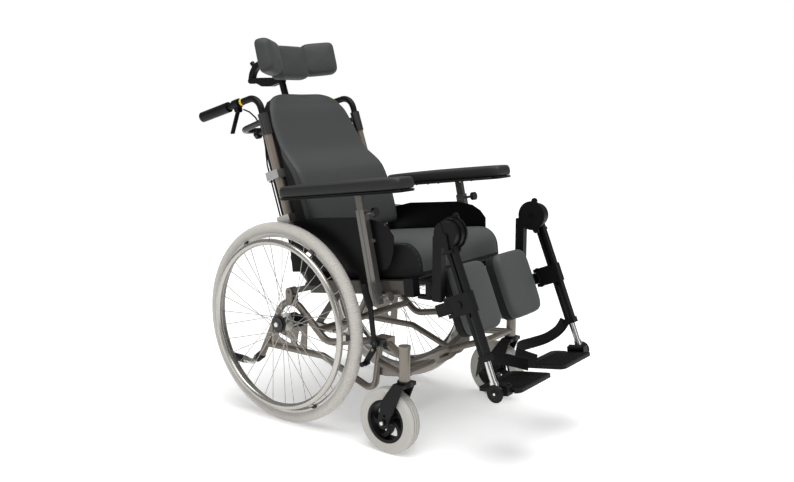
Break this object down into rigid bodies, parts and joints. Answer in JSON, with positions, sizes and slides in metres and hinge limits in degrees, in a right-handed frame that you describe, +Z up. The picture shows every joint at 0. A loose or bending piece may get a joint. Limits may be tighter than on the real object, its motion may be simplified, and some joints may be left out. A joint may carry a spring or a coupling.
{
  "type": "wheelchair",
  "caption": "Comfort wheelchair with tilting seat, reclining back, headrest, raising legrests, swivel casters, hand rims and parking brakes.",
  "frame": {"origin": "middle of the bounding box on the floor", "axes": "the chair faces -Y, its right side is -X, +Z is up"},
  "size_m": [0.654, 1.1828, 1.157],
  "materials": {
    "arm_cover": "soft-touch cover, near black",
    "black_metal": "satin black",
    "black_plastic": "matte black",
    "bright_metal": "anodised",
    "caster_rubber": "light grey rubber",
    "chrome": "polished",
    "cover_fabric": "woven stretch cover, dark grey",
    "painted_tube": "satin taupe paint",
    "tyre_grey": "light grey rubber"
  },
  "bodies": {
    "base": {"base_side_right": "painted_tube", "base_side_left": "painted_tube", "base_cross": "painted_tube", "axle_blocks": "black_plastic", "tip_bars": "chrome"},
    "seat": {"seat_frame": "painted_tube", "seat_cushion": "cover_fabric", "side_guards": "black_plastic", "hanger_brackets": "black_metal", "armrest_sockets": "bright_metal"},
    "back": {"back_frame": "painted_tube", "back_shell": "black_plastic", "back_cushion": "cover_fabric", "control_cables": "black_plastic"},
    "push_handles": {"push_handles": "black_metal"},
    "headrest_post": {"headrest_post": "black_metal"},
    "headrest_arm": {"headrest_arm": "black_metal"},
    "headrest_pad": {"headrest_pad": "cover_fabric"},
    "tilt_cylinder": {"tilt_cylinder": "bright_metal"},
    "tilt_rod": {"tilt_rod": "bright_metal"},
    "recline_cylinder": {"recline_cylinder": "black_metal"},
    "recline_rod": {"recline_rod": "bright_metal"},
    "rear_wheel_right": {"rear_tyre_right": "tyre_grey", "rear_wheel_right": "bright_metal", "handrim_right": "bright_metal"},
    "caster_fork_right": {"caster_fork_right": "black_metal"},
    "caster_wheel_right": {"caster_tyre_right": "caster_rubber", "caster_hub_right": "black_plastic"},
    "brake_lever_right": {"brake_lever_right": "black_plastic"},
    "brake_shoe_right": {"brake_shoe_right": "black_metal"},
    "armrest_right": {"armrest_post_right": "bright_metal", "armrest_pad_right": "arm_cover"},
    "handle_lever_right": {"handle_lever_right": "black_metal"},
    "hanger_right": {"leg_hanger_right": "black_metal"},
    "leg_upper_right": {"leg_upper_right": "black_metal"},
    "leg_release_right": {"leg_release_right": "bright_metal"},
    "leg_lower_right": {"leg_lower_right": "chrome"},
    "foot_bracket_right": {"foot_bracket_right": "black_metal"},
    "footplate_right": {"footplate_right": "black_plastic"},
    "calf_right": {"calf_bracket_right": "black_metal", "calf_pad_right": "arm_cover"},
    "rear_wheel_left": {"rear_tyre_left": "tyre_grey", "rear_wheel_left": "bright_metal", "handrim_left": "bright_metal"},
    "caster_fork_left": {"caster_fork_left": "black_metal"},
    "caster_wheel_left": {"caster_tyre_left": "caster_rubber", "caster_hub_left": "black_plastic"},
    "brake_lever_left": {"brake_lever_left": "black_plastic"},
    "brake_shoe_left": {"brake_shoe_left": "black_metal"},
    "armrest_left": {"armrest_post_left": "bright_metal", "armrest_pad_left": "arm_cover"},
    "handle_lever_left": {"handle_lever_left": "black_metal"},
    "hanger_left": {"leg_hanger_left": "black_metal"},
    "leg_upper_left": {"leg_upper_left": "black_metal"},
    "leg_release_left": {"leg_release_left": "bright_metal"},
    "leg_lower_left": {"leg_lower_left": "chrome"},
    "foot_bracket_left": {"foot_bracket_left": "black_metal"},
    "footplate_left": {"footplate_left": "black_plastic"},
    "calf_left": {"calf_bracket_left": "black_metal", "calf_pad_left": "arm_cover"}
  },
  "joints": [
    {"name": "seat_tilt", "type": "hinge", "parent": "base", "child": "seat", "pos_m": [0, 0.19609, 0.39], "axis": [1, 0, 0], "range_deg": [-20, 0]},
    {"name": "back_recline", "type": "hinge", "parent": "seat", "child": "back", "pos_m": [0, 0.17209, 0.497], "axis": [1, 0, 0], "range_deg": [-24, 6]},
    {"name": "handle_height", "type": "slide", "parent": "back", "child": "push_handles", "axis": [0, 0.314, 0.9494], "range_m": [0, 0.07]},
    {"name": "headrest_height", "type": "slide", "parent": "back", "child": "headrest_post", "axis": [0, 0.314, 0.9494], "range_m": [-0.05, 0.04]},
    {"name": "headrest_depth", "type": "hinge", "parent": "headrest_post", "child": "headrest_arm", "pos_m": [0, 0.58136, 1.03085], "axis": [1, 0, 0], "range_deg": [-20, 3]},
    {"name": "headrest_angle", "type": "hinge", "parent": "headrest_arm", "child": "headrest_pad", "pos_m": [0, 0.44784, 1.07784], "axis": [1, 0, 0], "range_deg": [-20, 3]},
    {"name": "tilt_spring_swing", "type": "hinge", "parent": "base", "child": "tilt_cylinder", "pos_m": [0, -0.11991, 0.168], "axis": [1, 0, 0], "range_deg": [-6, 6]},
    {"name": "tilt_spring_stroke", "type": "slide", "parent": "tilt_cylinder", "child": "tilt_rod", "axis": [0, 0.9918, 0.1281], "range_m": [-0.075, 0.01]},
    {"name": "recline_spring_swing", "type": "hinge", "parent": "seat", "child": "recline_cylinder", "pos_m": [0.07, 0.24409, 0.352], "axis": [1, 0, 0], "range_deg": [-20, 8]},
    {"name": "recline_spring_stroke", "type": "slide", "parent": "recline_cylinder", "child": "recline_rod", "axis": [0, 0.2123, 0.9772], "range_m": [-0.055, 0.02]},
    {"name": "rear_wheel_right_spin", "type": "hinge", "parent": "base", "child": "rear_wheel_right", "pos_m": [-0.2875, 0.18009, 0.305], "axis": [1, 0, 0], "continuous": true},
    {"name": "caster_right_swivel", "type": "hinge", "parent": "base", "child": "caster_fork_right", "pos_m": [-0.291, -0.27691, 0.25], "axis": [0, 0, 1], "continuous": true},
    {"name": "caster_right_spin", "type": "hinge", "parent": "caster_fork_right", "child": "caster_wheel_right", "pos_m": [-0.291, -0.22591, 0.0925], "axis": [1, 0, 0], "continuous": true},
    {"name": "brake_lever_right_turn", "type": "hinge", "parent": "base", "child": "brake_lever_right", "pos_m": [-0.287, -0.17191, 0.301], "axis": [1, 0, 0], "range_deg": [0, 30]},
    {"name": "brake_shoe_right_turn", "type": "hinge", "parent": "base", "child": "brake_shoe_right", "pos_m": [-0.284, -0.16491, 0.281], "axis": [1, 0, 0], "range_deg": [0, 9]},
    {"name": "armrest_right_height", "type": "slide", "parent": "seat", "child": "armrest_right", "axis": [0, 0.2079, 0.9781], "range_m": [0, 0.07]},
    {"name": "handle_lever_right_squeeze", "type": "hinge", "parent": "push_handles", "child": "handle_lever_right", "pos_m": [-0.22, 0.41937, 0.93633], "axis": [1, 0, 0], "range_deg": [0, 18], "stiffness_Nm_per_rad": 1.5, "springref_deg": -5.73},
    {"name": "hanger_right_swing", "type": "hinge", "parent": "seat", "child": "hanger_right", "pos_m": [-0.225, -0.31391, 0.46], "axis": [0, 0, 1], "range_deg": [-80, 0]},
    {"name": "leg_right_raise", "type": "hinge", "parent": "hanger_right", "child": "leg_upper_right", "pos_m": [-0.236, -0.38091, 0.621], "axis": [1, 0, 0], "range_deg": [-55, 0]},
    {"name": "leg_release_right_pull", "type": "hinge", "parent": "leg_upper_right", "child": "leg_release_right", "pos_m": [-0.26, -0.38091, 0.621], "axis": [1, 0, 0], "range_deg": [0, 15], "stiffness_Nm_per_rad": 0.8, "springref_deg": -8.59},
    {"name": "leg_right_length", "type": "slide", "parent": "leg_upper_right", "child": "leg_lower_right", "axis": [0, -0.3714, -0.9285], "range_m": [0, 0.06]},
    {"name": "foot_right_angle", "type": "hinge", "parent": "leg_lower_right", "child": "foot_bracket_right", "pos_m": [-0.2475, -0.5406, 0.22175], "axis": [1, 0, 0], "range_deg": [-15, 15]},
    {"name": "footplate_right_flip", "type": "hinge", "parent": "foot_bracket_right", "child": "footplate_right", "pos_m": [-0.222, -0.53917, 0.2319], "axis": [0, 0.9903, -0.1392], "range_deg": [-90, 0]},
    {"name": "calf_right_swing", "type": "hinge", "parent": "leg_upper_right", "child": "calf_right", "pos_m": [-0.2435, -0.39799, 0.42751], "axis": [0, 0.3714, 0.9285], "range_deg": [-20, 0]},
    {"name": "rear_wheel_left_spin", "type": "hinge", "parent": "base", "child": "rear_wheel_left", "pos_m": [0.2875, 0.18009, 0.305], "axis": [1, 0, 0], "continuous": true},
    {"name": "caster_left_swivel", "type": "hinge", "parent": "base", "child": "caster_fork_left", "pos_m": [0.291, -0.27691, 0.25], "axis": [0, 0, 1], "continuous": true},
    {"name": "caster_left_spin", "type": "hinge", "parent": "caster_fork_left", "child": "caster_wheel_left", "pos_m": [0.291, -0.22591, 0.0925], "axis": [1, 0, 0], "continuous": true},
    {"name": "brake_lever_left_turn", "type": "hinge", "parent": "base", "child": "brake_lever_left", "pos_m": [0.287, -0.17191, 0.301], "axis": [1, 0, 0], "range_deg": [0, 30]},
    {"name": "brake_shoe_left_turn", "type": "hinge", "parent": "base", "child": "brake_shoe_left", "pos_m": [0.284, -0.16491, 0.281], "axis": [1, 0, 0], "range_deg": [0, 9]},
    {"name": "armrest_left_height", "type": "slide", "parent": "seat", "child": "armrest_left", "axis": [0, 0.2079, 0.9781], "range_m": [0, 0.07]},
    {"name": "handle_lever_left_squeeze", "type": "hinge", "parent": "push_handles", "child": "handle_lever_left", "pos_m": [0.22, 0.41937, 0.93633], "axis": [1, 0, 0], "range_deg": [0, 18], "stiffness_Nm_per_rad": 1.5, "springref_deg": -5.73},
    {"name": "hanger_left_swing", "type": "hinge", "parent": "seat", "child": "hanger_left", "pos_m": [0.225, -0.31391, 0.46], "axis": [0, 0, 1], "range_deg": [0, 80]},
    {"name": "leg_left_raise", "type": "hinge", "parent": "hanger_left", "child": "leg_upper_left", "pos_m": [0.236, -0.38091, 0.621], "axis": [1, 0, 0], "range_deg": [-55, 0]},
    {"name": "leg_release_left_pull", "type": "hinge", "parent": "leg_upper_left", "child": "leg_release_left", "pos_m": [0.26, -0.38091, 0.621], "axis": [1, 0, 0], "range_deg": [0, 15], "stiffness_Nm_per_rad": 0.8, "springref_deg": -8.59},
    {"name": "leg_left_length", "type": "slide", "parent": "leg_upper_left", "child": "leg_lower_left", "axis": [0, -0.3714, -0.9285], "range_m": [0, 0.06]},
    {"name": "foot_left_angle", "type": "hinge", "parent": "leg_lower_left", "child": "foot_bracket_left", "pos_m": [0.2475, -0.5406, 0.22175], "axis": [1, 0, 0], "range_deg": [-15, 15]},
    {"name": "footplate_left_flip", "type": "hinge", "parent": "foot_bracket_left", "child": "footplate_left", "pos_m": [0.222, -0.53917, 0.2319], "axis": [0, 0.9903, -0.1392], "range_deg": [0, 90]},
    {"name": "calf_left_swing", "type": "hinge", "parent": "leg_upper_left", "child": "calf_left", "pos_m": [0.2435, -0.39799, 0.42751], "axis": [0, 0.3714, 0.9285], "range_deg": [0, 20]}
  ],
  "couplings": [
    {"joint": "tilt_spring_swing", "follows": "seat_tilt", "ratio": 0.14359},
    {"joint": "tilt_spring_stroke", "follows": "seat_tilt", "m_per_rad": 0.18744},
    {"joint": "recline_spring_swing", "follows": "back_recline", "ratio": 0.61978},
    {"joint": "recline_spring_stroke", "follows": "back_recline", "m_per_rad": 0.11252},
    {"joint": "brake_shoe_right_turn", "follows": "brake_lever_right_turn", "ratio": 0.25},
    {"joint": "brake_shoe_left_turn", "follows": "brake_lever_left_turn", "ratio": 0.25}
  ]
}
